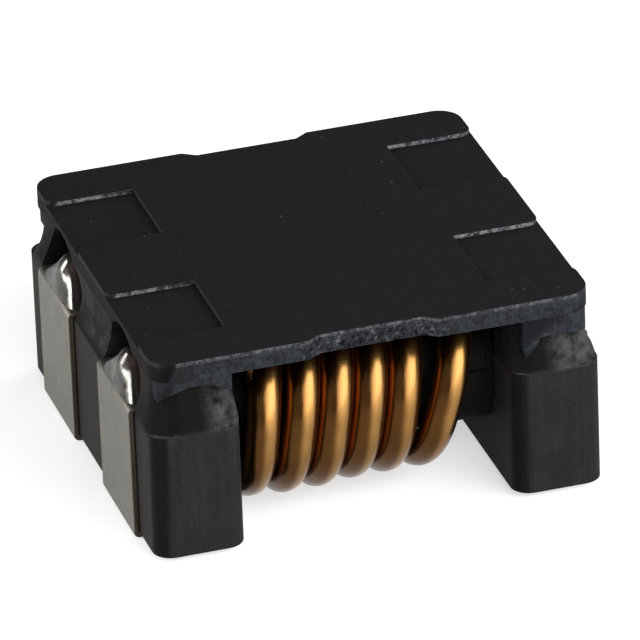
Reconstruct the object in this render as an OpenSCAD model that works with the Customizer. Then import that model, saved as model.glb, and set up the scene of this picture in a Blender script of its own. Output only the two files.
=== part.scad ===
// Surface-mount common mode choke: a ferrite drum core under a bonded ferrite plate, two windings
// wound side by side round the core's post, and four clip terminals that carry the wire ends.
// Frame: X along the post, Y across it, Z up, origin on the board under the middle of the part.

/* [Core] */
// Length of the core over its two flanges
core_l = 11.7; // [11.5:0.1:12.1]
// Width of the flanges
core_w = 11.44; // [11.3:0.02:11.8]
// Thickness of each flange
flange_t = 2.35; // [2.25:0.05:2.45]
// Height of the flange's shoulder above the board
shoulder_z = 3.5; // [3.4:0.05:3.6]
// Radius of the legs' upright edges on the outer side
leg_outer_r = 0.5; // [0.2:0.05:0.6]
// Radius of the legs' upright edges on the winding side
leg_inner_r = 0.5; // [0.2:0.05:0.7]

/* [Neck above the shoulder] */
// Set-in of the neck's front and back from the leg's face
neck_in_y = 0.36; // [0.25:0.01:0.45]
// Set-in of the neck's outer end from the leg's face
neck_in_x = 0.25; // [0.15:0.01:0.3]
// Set-in of the neck's winding side from the flange's inner face
neck_in_post = 0.1; // [0.05:0.05:0.3]
// Radius of the neck's upright edges
neck_r = 0.7; // [0.4:0.05:0.85]
// Radius of the hollow that runs round the neck's corners between the neck and the leg
hollow_r = 2; // [1.6:0.1:2.4]
// Height of that hollow's upper end above the shoulder
hollow_h = 1.15; // [0.95:0.05:1.2]
// Radius of the middle pillar's hollow outer face
pillar_hollow_r = 1.5; // [1.2:0.1:2]

/* [Wire arches] */
// Distance of each arch's middle from the part's middle line
arch_y = 2.72; // [2.6:0.02:2.8]
// Radius of the arch over each wire
arch_r = 1.5; // [1.45:0.01:1.55]
// Height of the arch's centre above the shoulder
arch_rise = 0.2; // [0.1:0.02:0.24]

/* [Post] */
// Width of the post across Y
post_w = 8.34; // [8.2:0.02:8.4]
// Height of the post's underside above the board
post_z = 1.34; // [1.3:0.01:1.4]
// Height of the post
post_h = 2.54; // [2.5:0.01:2.6]
// Radius of the post's four long edges
post_r = 0.9; // [0.8:0.05:1.1]
// Radius of the hollow where the post meets a flange
post_hollow_r = 0.2; // [0.1:0.05:0.25]

/* [Top plate] */
// Length of the plate
plate_l = 11.38; // [11.2:0.02:11.5]
// Width of the plate
plate_w = 11.1; // [10.9:0.02:11.2]
// Thickness of the plate
plate_t = 0.53; // [0.5:0.01:0.6]
// Height of the plate's underside above the board
plate_z = 4.91; // [4.9:0.01:5]
// Radius of the plate's corners
plate_r = 0.65; // [0.3:0.05:0.8]
// Length of the notch in the plate's front and back edges
notch_l = 3; // [2.5:0.1:3.5]
// Depth of that notch
notch_d = 0.24; // [0.1:0.02:0.3]
// Length of the sloping run at each end of the notch
notch_run = 0.35; // [0.1:0.05:0.5]
// Length of each shallow recess from the plate's end
recess_l = 2.3; // [2:0.1:2.6]
// Width of each shallow recess
recess_w = 2.6; // [2.4:0.1:2.8]
// Depth of each shallow recess
recess_d = 0.12; // [0.08:0.01:0.14]
// Radius to which each recess widens at the plate's end
recess_flare_r = 0.32; // [0.1:0.02:0.4]
// Length over which the arch fades into the plate's underside
scoop_l = 1.4; // [1:0.1:1.8]
// Height to which the arch cuts into the plate at its end
scoop_h = 0.3; // [0.2:0.02:0.32]

/* [Bond between core and plate] */
// Thickness of the adhesive layer
bond_t = 0.04; // [0.03:0.01:0.06]
// Depth of the adhesive beads below the plate at the two sides of each neck
bead_side = 0.62; // [0.55:0.01:0.68]
// Depth of the left necks' beads at the middle of their arched lower edge
bead_left = 0.18; // [0.12:0.02:0.4]
// Depth of the right necks' beads at the middle of their arched lower edge
bead_right = 0.5; // [0.3:0.02:0.54]
// Distance of the left necks' beads from the neck's winding side
bead_in_left = 0.1; // [0.04:0.02:0.3]
// Distance of the right necks' beads from the neck's winding side
bead_in_right = 0.24; // [0.04:0.02:0.3]
// Length of the drip at the front right neck
drip_l = 1.08; // [0.8:0.02:1.2]
// Length of the drip's upright side
drip_side = 0.78; // [0.65:0.01:0.8]
// Width of the drip at its root
drip_w = 0.42; // [0.3:0.02:0.5]

/* [Winding] */
// Diameter of the enamelled wire
wire_d = 0.85; // [0.8:0.01:0.85]
// Distance from one wire to the next
wire_pitch = 0.885; // [0.88:0.005:0.9]
// Gap between the wire and the post's top and underside
wire_gap = 0.03; // [0.02:0.01:0.05]
// How far the wire springs out from the post's front and back
wire_bulge = 0.34; // [0.3:0.01:0.4]
// Radius of the wire's bends round the post, on its middle line
wire_bend_r = 1.6; // [1.5:0.05:1.6]
// Gap between the first wire and the left flange
first_gap = 0.07; // [0.02:0.01:0.08]
// How far the first wire moves sideways as it climbs the front
first_lean = 0.4; // [0.3:0.02:0.5]
// How far the wires between the first and the last move sideways as they climb the front
front_lean = 0.54; // [0.44:0.02:0.56]
// How far the last wire moves sideways as it climbs the front
last_lean = 1; // [0.9:0.02:1.1]
// How far the second and third wires hang below the others under the post
wire_sag = 0.07; // [0:0.01:0.1]
// Turns of each winding
turns = 3; // [2:1:3]

/* [Terminals] */
// Thickness of the terminal's strip
term_t = 0.15; // [0.12:0.01:0.18]
// Width of the terminal
term_w = 2.85; // [2.6:0.05:2.9]
// Length of the foot under the flange
foot_l = 1.9; // [1.6:0.1:2.1]
// Length of the tab over the shoulder
tab_l = 1.1; // [1:0.05:1.2]

/* [Solder joints] */
// Radius of the wire's bend down to the tab, on its middle line
end_bend_r = 0.55; // [0.5:0.01:0.6]
// Distance of the wire end's middle from the terminal's outer face
end_in = 0.56; // [0.5:0.01:0.6]
// Distance of the solder's foot from the tab's edges
solder_in = 0.06; // [0.05:0.01:0.12]
// Radius of the foot's corners
solder_foot_r = 0.3; // [0.2:0.02:0.4]
// Height to which the solder climbs the wire above the tab
solder_h = 0.68; // [0.5:0.02:0.8]
// Thickness of the solder under the wire's end
solder_base = 0.04; // [0.03:0.01:0.06]

/* [Hidden] */
$fn = 64;

// Room left so that tools that cut run past the faces they cut
over = 1;
// Distance of the drip's tip from its upright side
drip_tip = 0.05;
// Clearance between the wire and the solder round it
solder_gap = 0.01;
// Thickness of the solder round the wire at its top
solder_rim = 0.06;
// Sides of the wire's section, and steps round each of its bends
wire_sides = 16;
bend_steps = 6;
// Sides of the circles from which the solder is drawn
solder_sides = 32;

end_x = core_l / 2;
inner_x = end_x - flange_t;
face_y = core_w / 2;
core_z = term_t;
neck_top = plate_z - bond_t;
plate_x = plate_l / 2;
plate_y = plate_w / 2;
plate_top = plate_z + plate_t;
neck_x = end_x - neck_in_x;
neck_y = face_y - neck_in_y;
neck_post_x = inner_x + neck_in_post;
arch_z = shoulder_z + arch_rise;
post_top = post_z + post_h;

// The wire's middle line round the post
wire_r = wire_d / 2;
wind_y = post_w / 2 + wire_bulge + wire_r;
wind_low = post_z - wire_gap - wire_r;
wind_high = post_top + wire_gap + wire_r;
first_x = -inner_x + first_gap + wire_r;
// Radius of the leads' bends on top of the post, and how far along X each lead's bend lies from
// the wire it belongs to: where winding A leaves, where winding B enters and where it leaves
lead_bend_r = 0.5;
a_out = 1.48;
b_in = -1.18;
b_out = 0.3;
// Place along Y, on top of the post, from which each wire runs straight to the back, and its bend there
cross_y = 1.7;
cross_r = 1;

tab_top = shoulder_z + term_t;
term_x = end_x + term_t;
wire_end_x = term_x - end_in;
wire_end_z = tab_top + solder_base;

// Rectangle on an axis from x0 to x1, of width w, with its own radius at each end
module end_rounded(x0, x1, w, r0, r1) {
    translate([x0 + r0, -w / 2]) square([x1 - x0 - r0 - r1, w]);
    translate([x0, r0 - w / 2]) square([r0, w - 2 * r0]);
    translate([x1 - r1, r1 - w / 2]) square([r1, w - 2 * r1]);
    for (side = [-1, 1]) {
        translate([x0 + r0, side * (w / 2 - r0)]) circle(r0);
        translate([x1 - r1, side * (w / 2 - r1)]) circle(r1);
    }
}

// A shape made for the right end, repeated at the left end
module both_ends() {
    children();
    mirror([1, 0, 0]) children();
}

// A shape made for the back, repeated at the front
module both_sides() {
    children();
    mirror([0, 1, 0]) children();
}

// Cylinder along X between x0 and x1
module rod_x(x0, x1, r) {
    translate([x0, 0, 0]) rotate([0, 90, 0]) cylinder(h = x1 - x0, r = r);
}

// Cylinder along Y, of length w, about its middle
module rod_y(w, r) {
    rotate([90, 0, 0]) cylinder(h = w, r = r, center = true);
}

// Flange with its four legs, from the core's underside to the shoulder
module flange() {
    translate([0, 0, core_z])
        linear_extrude(shoulder_z - core_z)
            end_rounded(inner_x, end_x, core_w, leg_inner_r, leg_outer_r);
}

// Profile of the neck's foot: a hollow slope that rises from the leg and ends upright at the neck's face
module foot_profile() {
    reach = neck_r + hollow_r;
    difference() {
        square([reach, hollow_h]);
        translate([reach, hollow_h]) circle(hollow_r);
    }
}

// The foot's profile round one of the neck's upright edges, and along one of its faces
module foot_corner() {
    rotate_extrude(angle = 90) foot_profile();
}
module foot_run(length) {
    rotate([90, 0, 0]) linear_extrude(length) foot_profile();
}

// Foot of the neck's back: round both corners, and along the end and the winding side as far as the arch
module neck_foot() {
    run_x = neck_x - neck_post_x - 2 * neck_r;
    run_y = neck_y - neck_r - arch_y;
    translate([neck_post_x + neck_r, neck_y - neck_r, shoulder_z]) {
        translate([run_x, 0, 0]) {
            foot_corner();
            foot_run(run_y);
        }
        rotate(90) {
            foot_corner();
            foot_run(run_x);
        }
        mirror([1, 0, 0]) foot_run(run_y);
    }
}

// Feet of the neck's front and back, inside the leg's outline
module neck_feet() {
    intersection() {
        translate([0, 0, shoulder_z])
            linear_extrude(hollow_h)
                end_rounded(inner_x, end_x, core_w, leg_inner_r, leg_outer_r);
        both_sides() neck_foot();
    }
}

// Column of the neck from the shoulder to the given height
module neck_column(top) {
    translate([0, 0, shoulder_z])
        linear_extrude(top - shoulder_z)
            end_rounded(neck_post_x, neck_x, 2 * neck_y, neck_r, neck_r);
}

// Middle pillar: its outer face is hollow between the plate's end and the leg's end
module middle_pillar() {
    plate_end = [plate_x, neck_top];
    leg_end = [end_x, shoulder_z];
    chord = leg_end - plate_end;
    out = [-chord[1], chord[0]] / norm(chord);
    centre = (plate_end + leg_end) / 2 + out * sqrt(pow(pillar_hollow_r, 2) - chord * chord / 4);
    difference() {
        translate([neck_post_x, -arch_y, shoulder_z])
            cube([end_x - neck_post_x, 2 * arch_y, neck_top - shoulder_z]);
        translate([centre[0], 0, centre[1]]) rod_y(core_w, pillar_hollow_r);
    }
}

// Neck above the shoulder: a column with its feet, and the middle pillar
module neck() {
    neck_column(neck_top);
    neck_feet();
    middle_pillar();
}

// The two arches through which the wires leave, from the shoulder up
module arches() {
    both_sides()
        intersection() {
            translate([0, arch_y, arch_z]) rod_x(inner_x - over, end_x + over, arch_r);
            translate([0, 0, shoulder_z]) cube([end_x + 2 * over, core_w, 2 * arch_r]);
        }
}

// Hollow strips where the post meets the flange, on its underside, front and back
module post_hollows() {
    r = post_hollow_r;
    straight_y = post_w - 2 * post_r;
    straight_z = shoulder_z - post_z - post_r;
    difference() {
        translate([inner_x - r, -straight_y / 2, post_z - r]) cube([r, straight_y, r]);
        translate([inner_x - r, 0, post_z - r]) rod_y(core_w, r);
    }
    both_sides()
        translate([inner_x - r, post_w / 2, post_z + post_r])
            difference() {
                cube([r, r, straight_z]);
                translate([0, r, -over]) cylinder(h = straight_z + 2 * over, r = r);
            }
}

// Post that carries the windings, between the flanges
module post() {
    translate([-inner_x, 0, post_z + post_h / 2])
        rotate([90, 0, 90])
            linear_extrude(2 * inner_x)
                end_rounded(-post_w / 2, post_w / 2, post_h, post_r, post_r);
}

module drum_core() {
    color("#3a3a39") {
        both_ends() {
            flange();
            difference() {
                neck();
                arches();
            }
            post_hollows();
        }
        post();
    }
}

// Outline of the plate with a notch in its front and back edges
module plate_outline() {
    half = notch_l / 2;
    difference() {
        end_rounded(-plate_x, plate_x, plate_w, plate_r, plate_r);
        both_sides()
            polygon([
                [-half - notch_run / 2, plate_y],
                [-half + notch_run / 2, plate_y - notch_d],
                [half - notch_run / 2, plate_y - notch_d],
                [half + notch_run / 2, plate_y],
                [half + notch_run / 2, plate_y + over],
                [-half - notch_run / 2, plate_y + over],
            ]);
    }
}

// Arch in the plate's underside over a wire's end, deepest at the plate's end
module plate_scoop() {
    slope = atan(scoop_h / scoop_l);
    top_z = plate_z + scoop_h;
    translate([plate_x, arch_y, top_z])
        rotate([0, -slope, 0])
            translate([0, 0, -arch_r])
                rod_x(-2 * scoop_l, over, arch_r);
}

// Outline of the recess over the back right wire end, which widens where it meets the plate's end
module recess_outline() {
    r = recess_flare_r;
    translate([plate_x - recess_l, arch_y - recess_w / 2]) square([recess_l + over, recess_w]);
    translate([plate_x - r, arch_y])
        both_sides()
            translate([0, recess_w / 2])
                difference() {
                    square([r + over, r]);
                    translate([0, r]) circle(r);
                }
}

module top_plate() {
    color("#2b2c2d")
        difference() {
            translate([0, 0, plate_z]) linear_extrude(plate_t) plate_outline();
            both_ends()
                both_sides() {
                    translate([0, 0, plate_top - recess_d]) linear_extrude(over) recess_outline();
                    plate_scoop();
                }
        }
}

// Adhesive bead flush with the plate's edge, outside a right-hand corner neck. Its lower edge is an arch
// whose top lies at the given depth below the plate; it starts by the inset from the winding side.
module bead(depth, inset) {
    near_x = neck_post_x + inset;
    far_x = neck_x - bond_t;
    half = (neck_x - neck_post_x) / 2;
    rise = bead_side - depth;
    arch = (half * half + rise * rise) / (2 * rise);
    difference() {
        intersection() {
            translate([near_x, neck_y - neck_r, plate_z - bead_side])
                cube([far_x - near_x, neck_r + over, bead_side]);
            translate([0, 0, shoulder_z]) linear_extrude(plate_top - shoulder_z) plate_outline();
        }
        translate([neck_post_x + half, 0, plate_z - depth - arch]) rod_y(2 * core_w, arch);
        neck_column(plate_top);
        neck_feet();
    }
}

// Thin layers of adhesive on the pillars' tops
module bond_layers() {
    difference() {
        translate([0, 0, neck_top])
            linear_extrude(bond_t) {
                end_rounded(neck_post_x, neck_x, 2 * neck_y, neck_r, neck_r);
                translate([neck_post_x, -arch_y]) square([plate_x - neck_post_x, 2 * arch_y]);
            }
        arches();
    }
}

// Pointed flat drip of adhesive at the winding side of the front right neck, flush with its bead
module drip() {
    depth = plate_y - neck_y + neck_r;
    difference() {
        translate([neck_post_x + bead_in_right, depth - plate_y, plate_z])
            rotate([90, 0, 0])
                linear_extrude(depth)
                    polygon([
                        [0, 0],
                        [0, -drip_side],
                        [drip_tip, -drip_l],
                        [drip_w, -bead_side],
                        [drip_w, 0],
                    ]);
        neck_column(plate_top);
        neck_feet();
    }
}

module bond() {
    color("#53585c") {
        both_ends() bond_layers();
        both_sides() {
            bead(bead_right, bead_in_right);
            mirror([1, 0, 0]) bead(bead_left, bead_in_left);
        }
        drip();
    }
}

// Vector of length one along v
function unit(v) = v / norm(v);

// Points of the arc of radius r that rounds corner b of the line from a to c
function corner_arc(a, b, c, r) =
    let (
        u = unit(a - b),
        w = unit(c - b),
        half = acos(u * w) / 2,
        centre = b + unit(u + w) * r / sin(half),
        from = unit(b + u * r / tan(half) - centre),
        to = unit(b + w * r / tan(half) - centre),
        side = unit(to - from * (from * to)),
        sweep = 180 - 2 * half
    )
    [for (i = [0 : bend_steps])
        centre + r * (from * cos(sweep * i / bend_steps) + side * sin(sweep * i / bend_steps))];

// Route through points [x, y, z, radius], rounded at each point between its ends
function place(p) = [p[0], p[1], p[2]];
function rounded_route(p) = [
    place(p[0]),
    for (i = [1 : len(p) - 2])
        each corner_arc(place(p[i - 1]), place(p[i]), place(p[i + 1]), p[i][3]),
    place(p[len(p) - 1]),
];

// Direction of a route at point i, and the direction n turned square to t
function heading(p, i) = unit(p[min(i + 1, len(p) - 1)] - p[max(i - 1, 0)]);
function squared(n, t) = unit(n - t * (n * t));

// Directions across a route, carried along it without twist
function across(p) = [
    for (i = 0, n = squared([0, 1, 0], heading(p, 0));
        i < len(p);
        i = i + 1, n = squared(n, heading(p, min(i, len(p) - 1)))) n];

// Round tube of radius r along a route
module tube(p, r) {
    n = across(p);
    count = len(p);
    points = [
        for (i = [0 : count - 1], k = [0 : wire_sides - 1])
            let (a = 360 * k / wire_sides)
            p[i] + r * (n[i] * cos(a) + cross(heading(p, i), n[i]) * sin(a))];
    walls = [
        for (i = [0 : count - 2], k = [0 : wire_sides - 1])
            let (next = (k + 1) % wire_sides)
            [[i, k], [i + 1, k], [i + 1, next], [i, next]]];
    faces = [for (wall = walls) [for (corner = wall) corner[0] * wire_sides + corner[1]]];
    first_cap = [for (k = [0 : wire_sides - 1]) k];
    last_cap = [for (k = [wire_sides - 1 : -1 : 0]) (count - 1) * wire_sides + k];
    polyhedron(points, concat(faces, [first_cap, last_cap]), convexity = 10);
}

// Place along X of the wire that lies at position i, counted from the left flange
function wire_x(i) = first_x + wire_pitch * i;
// Place along X of that wire's top at the front: the last wire leans out towards its terminal
function lean(i) = i == 0 ? first_lean : i == 2 * turns - 1 ? last_lean : front_lean;
function front_top_x(i) = wire_x(i) + lean(i);
// Height of that wire's middle line under the post
function under_z(i) = wind_low - (i == 1 || i == 2 ? wire_sag : 0);

// One turn at position i: down the back, under the post and up the front
function turn(i) = [
    [wire_x(i), wind_y, wind_high, wire_bend_r],
    [wire_x(i), wind_y, under_z(i), wire_bend_r],
    [wire_x(i), -wind_y, under_z(i), wire_bend_r],
    [front_top_x(i), -wind_y, wind_high, wire_bend_r],
];

// Point on top of the post where a wire that has crossed it turns straight to the back
function crossed(i) = [wire_x(i), cross_y, wind_high, cross_r];

// Wire end that stands on the terminal at the given side, and its bend into the arch
function wire_end(x_side, y_side) = [
    [x_side * wire_end_x, y_side * arch_y, wire_end_z, 0],
    [x_side * wire_end_x, y_side * arch_y, wind_high, end_bend_r],
];

// Point on top of the post where a lead turns towards its arch
function lead_turn(x, y_side) = [x, y_side * arch_y, wind_high, lead_bend_r];
function turned_round(p) = [for (i = [len(p) - 1 : -1 : 0]) p[i]];

// Route of the winding whose turns start at the given position, between ends on the given sides:
// each turn follows a pass across the post's top, apart from a first one whose lead enters at the back
function winding_route(start, in_side, in_x, out_side, out_x) = rounded_route([
    each wire_end(-1, in_side),
    lead_turn(in_x, in_side),
    for (i = [start : 2 : start + 2 * (turns - 1)])
        each i == start && in_side > 0 ? turn(i) : [crossed(i), each turn(i)],
    lead_turn(out_x, out_side),
    each turned_round(wire_end(1, out_side)),
]);

// Leads of winding A pass at the back: one drops straight in, the other crosses the post's top
module winding_a() {
    out_x = front_top_x(2 * turns - 2) + a_out;
    color("#b9762c") tube(winding_route(0, 1, wire_x(0), 1, out_x), wire_r);
}

// Leads of winding B pass at the front: one crosses the post's top, the other drops straight out
module winding_b() {
    in_x = wire_x(1) + b_in;
    out_x = front_top_x(2 * turns - 1) + b_out;
    color("#b9762c") tube(winding_route(1, -1, in_x, -1, out_x), wire_r);
}

// Square less the quarter circle that rounds its outer corner
module corner_cut(r) {
    difference() {
        square(r + over);
        circle(r);
    }
}

// Clip of bent strip for the back right corner: foot, wall and tab
module terminal() {
    wall_h = tab_top;
    color("#8d8a80")
        translate([0, arch_y + term_w / 2, 0])
            rotate([90, 0, 0])
                linear_extrude(term_w)
                    difference() {
                        union() {
                            translate([term_x - foot_l, 0]) square([foot_l, term_t]);
                            translate([end_x, 0]) square([term_t, wall_h]);
                            translate([term_x - tab_l, shoulder_z]) square([tab_l, term_t]);
                        }
                        translate([end_x, shoulder_z]) corner_cut(term_t);
                        translate([end_x, term_t]) mirror([0, 1]) corner_cut(term_t);
                    }
}

// Wire's end at the back right corner, a little oversize, as room inside the solder
module wire_room() {
    r = wire_r + solder_gap;
    low = wind_high - end_bend_r;
    translate([wire_end_x, arch_y, wire_end_z]) cylinder(h = low - wire_end_z, r = r);
    translate([wire_end_x - end_bend_r, arch_y, low])
        rotate([90, 0, 0])
            rotate_extrude(angle = 90) translate([end_bend_r, 0]) circle(r);
    translate([0, arch_y, wind_high]) rod_x(inner_x, wire_end_x - end_bend_r, r);
}

// Solder that covers the tab at the back right corner and climbs the wire's end like a tent
module solder() {
    foot_w = term_w - 2 * solder_in;
    color("#c9c9c6")
        difference() {
            hull($fn = solder_sides) {
                translate([0, arch_y, shoulder_z + term_t / 2])
                    linear_extrude(term_t / 2 + solder_base)
                        end_rounded(term_x - tab_l, term_x - solder_in, foot_w, solder_foot_r, solder_foot_r);
                translate([wire_end_x, arch_y, tab_top])
                    cylinder(h = solder_h, r = wire_r + solder_rim);
            }
            wire_room();
            terminal();
        }
}

drum_core();
top_plate();
bond();
winding_a();
winding_b();
mirror([1, 0, 0]) mirror([0, 1, 0]) terminal();  // terminal_front_left
mirror([0, 1, 0]) terminal();  // terminal_front_right
mirror([1, 0, 0]) terminal();  // terminal_back_left
terminal();  // terminal_back_right
mirror([1, 0, 0]) mirror([0, 1, 0]) solder();  // solder_front_left
mirror([0, 1, 0]) solder();  // solder_front_right
mirror([1, 0, 0]) solder();  // solder_back_left
solder();  // solder_back_right
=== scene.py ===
"""Surface-mount common mode choke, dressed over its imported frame.

The ferrite core, the plate, the adhesive and the clip terminals keep the frame's own solids, with their
edges rounded and a finish each. The two windings and the four solder joints are new surfaces, worked out
as arrays from the same few sizes. Lengths are in millimetres inside the shape functions and in metres in
the meshes.
"""

import math

import bpy
import numpy as np
from bpy.props import FloatProperty, FloatVectorProperty, IntProperty, PointerProperty
from mathutils import Matrix, Vector


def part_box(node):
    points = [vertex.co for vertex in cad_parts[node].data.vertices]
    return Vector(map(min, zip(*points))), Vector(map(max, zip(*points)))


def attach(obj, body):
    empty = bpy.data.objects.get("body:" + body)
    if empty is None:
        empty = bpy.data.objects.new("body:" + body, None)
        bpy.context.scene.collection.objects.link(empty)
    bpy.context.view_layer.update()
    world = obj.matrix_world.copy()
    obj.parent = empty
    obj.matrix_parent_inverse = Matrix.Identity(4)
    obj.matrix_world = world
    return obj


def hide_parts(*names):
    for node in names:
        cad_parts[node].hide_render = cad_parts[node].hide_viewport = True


bl_info = {
    "name": "Common Mode Choke",
    "version": (1, 0, 0),
    "blender": (4, 5, 0),
    "location": "View3D > Sidebar > Choke",
    "description": "Dresses the frame of a surface-mount common mode choke and sets its stage",
    "category": "Object",
}

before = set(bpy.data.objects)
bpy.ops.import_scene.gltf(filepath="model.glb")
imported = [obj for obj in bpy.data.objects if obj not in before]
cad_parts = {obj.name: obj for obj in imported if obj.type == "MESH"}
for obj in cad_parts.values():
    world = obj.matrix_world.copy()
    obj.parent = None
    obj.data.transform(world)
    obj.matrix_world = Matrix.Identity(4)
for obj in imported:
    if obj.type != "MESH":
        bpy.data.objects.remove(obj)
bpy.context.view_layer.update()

MM = 0.001
PER_MM = 1 / MM
# Least bevel on edges that stay sharp, and the floor's drop below the feet, in millimetres
HAIR = 0.004
# Points that lie less than this from a height, in millimetres, lie on it
NEAR = 0.01
# Points closer to each other than this, in metres, are one
WELD = 1e-6
# Turns, in degrees, below which faces are one, and above which edges are rounded and broken
FLAT_ANGLE, ROUND_ANGLE, BREAK_ANGLE = 0.5, 28.0, 40.0
# Half of the floor's side, in metres, and the width of the camera's sensor, in millimetres
FLOOR_HALF = 0.6
SENSOR = 36.0
LEFT, RIGHT = -1, 1
FRONT, BACK = -1, 1
CORNERS = {
    "front_left": (LEFT, FRONT),
    "front_right": (RIGHT, FRONT),
    "back_left": (LEFT, BACK),
    "back_right": (RIGHT, BACK),
}


def low_high(node):
    """Lowest and highest corner of a frame node, as two arrays in millimetres."""
    low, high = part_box(node)
    return np.array(low) * PER_MM, np.array(high) * PER_MM


# In millimetres: thickness of the terminals' strip, their outer face and top, and the shoulder under them
STRIP = 0.15
TAB_X, _, TAB_Z = low_high("terminal_back_right")[1]
SHOULDER_Z = TAB_Z - STRIP
# In millimetres: the core's end and side, the thickness of its flanges, and their inner faces
CORE_X, CORE_Y, _ = low_high("drum_core")[1]
FLANGE = 2.35
INNER_X = CORE_X - FLANGE


class ChokeFinish(bpy.types.PropertyGroup):
    """Colours of the choke's finishes."""

    ferrite: FloatVectorProperty(
        name="Ferrite",
        description="Colour of the pressed core",
        subtype="COLOR",
        default=(0.012, 0.012, 0.0116),
    )
    # Pale grains, and painted light on the pillars, the necks' right-hand halves and the legs' tops
    ferrite_pale_and_lit: FloatVectorProperty(
        name="Ferrite edge",
        description="Colour of the rubbed edges",
        subtype="COLOR",
        default=(0.05, 0.05, 0.048),
    )
    # Painted shade: the colour of the necks' hollows, the post and the roundings turned from the light
    ferrite_painted_shade: FloatVectorProperty(
        name="Ferrite stain",
        description="Colour of the hollows",
        subtype="COLOR",
        default=(0.0036, 0.0033, 0.0031),
    )
    # Painted light on the flanges' faces that look along X
    ferrite_lit_ends: FloatVectorProperty(
        name="Ferrite end",
        description="Colour of the flanges' faces",
        subtype="COLOR",
        default=(0.025, 0.0236, 0.0218),
    )
    plate: FloatVectorProperty(
        name="Plate",
        description="Colour of the plate's top",
        subtype="COLOR",
        default=(0.0088, 0.0087, 0.0094),
    )
    plate_side: FloatVectorProperty(
        name="Plate side",
        description="Colour of the plate's coarse sides",
        subtype="COLOR",
        default=(0.0162, 0.018, 0.0207),
    )
    plate_rim: FloatVectorProperty(
        name="Plate rim",
        description="Colour of the chipped rims",
        subtype="COLOR",
        default=(0.13, 0.134, 0.138),
    )
    # Painted highlight on the wire's crest
    enamel: FloatVectorProperty(
        name="Enamel",
        description="Colour of the lit enamelled wire",
        subtype="COLOR",
        default=(0.216, 0.113, 0.032),
    )
    # Painted shade on the wire's flanks
    enamel_painted_shade: FloatVectorProperty(
        name="Deep enamel",
        description="Colour of the thicker enamel",
        subtype="COLOR",
        default=(0.062, 0.0245, 0.0042),
    )
    tin: FloatVectorProperty(
        name="Tin",
        description="Colour of the tinned strip",
        subtype="COLOR",
        default=(0.145, 0.137, 0.117),
    )
    strip_cut: FloatVectorProperty(
        name="Strip's cut edge",
        description="Colour of the bare alloy",
        subtype="COLOR",
        default=(0.03, 0.0225, 0.016),
    )
    solder: FloatVectorProperty(
        name="Solder",
        description="Colour of the bright solder",
        subtype="COLOR",
        default=(0.1, 0.0965, 0.0895),
    )


class ChokeShape(bpy.types.PropertyGroup):
    """Sizes of the choke's roundings, windings and solder joints, in millimetres."""

    core_edge: FloatProperty(name="Core edge", description="Rounding of the core's edges", default=0.09)
    plate_edge: FloatProperty(name="Plate edge", description="Rounding of the plate's edges", default=0.03)
    strip_edge: FloatProperty(name="Strip edge", description="Rounding of the strip's edges", default=0.03)
    bond_edge: FloatProperty(name="Bond edge", description="Rounding of the adhesive's edges", default=0.03)
    wire: FloatProperty(name="Wire", description="Diameter of the wire", default=0.85)
    pitch: FloatProperty(name="Pitch", description="Distance from one wire to the next", default=0.885)
    first: FloatProperty(name="First wire", description="Place of the first wire along X", default=-3.005)
    bend: FloatProperty(name="Bend", description="Radius of the bends round the post", default=1.6)
    lead_bend: FloatProperty(name="Lead bend", description="Radius of the leads' bends", default=0.5)
    end_bend: FloatProperty(name="End bend", description="Radius of the bend down to the tab", default=0.55)
    end_in: FloatProperty(name="End set-in", description="Wire end's middle to the outer face", default=0.56)
    solder_height: FloatProperty(name="Solder", description="Height of the solder on the wire", default=0.68)
    sag: FloatProperty(name="Sag", description="Second and third wire below the others", default=0.07)
    turns: IntProperty(name="Turns", description="Turns of each winding", default=3)
    wire_sides: IntProperty(name="Wire sides", description="Points round the wire", default=36)


class ChokeStage(bpy.types.PropertyGroup):
    """Viewpoint, lamps and floor."""

    azimuth: FloatProperty(
        name="Azimuth", description="Camera's turn round Z", subtype="ANGLE", default=math.radians(-16.2617)
    )
    elevation: FloatProperty(
        name="Elevation", description="Camera's height angle", subtype="ANGLE", default=math.radians(27.4939)
    )
    roll: FloatProperty(
        name="Roll", description="Camera's roll", subtype="ANGLE", default=math.radians(-2.2698)
    )
    distance: FloatProperty(name="Distance", description="Camera to aim", unit="LENGTH", default=0.222186)
    lens: FloatProperty(name="Lens", description="Focal length for a 36 mm sensor", default=493.8)
    aim: FloatVectorProperty(
        name="Aim", description="Point the camera faces", unit="LENGTH", default=(0.0, 0.0, 0.002859)
    )
    slide: FloatVectorProperty(
        name="Slide",
        description="Camera's parallel slide, right and up",
        size=2,
        unit="LENGTH",
        default=(0.000222, 0.000118),
    )
    key: FloatProperty(name="Key", description="Strength of the broad softbox at the right", default=1.0)
    fill: FloatProperty(name="Fill", description="Strength of the other softboxes", default=1.0)
    sky: FloatProperty(name="Sky", description="Strength of the even light all round", default=0.1)
    floor: FloatVectorProperty(
        name="Floor",
        description="Colour of the floor",
        subtype="COLOR",
        default=(0.5, 0.5, 0.5),
    )
    floor_glow: FloatProperty(name="Floor glow", description="Lift of the floor towards white", default=0.55)


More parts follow.
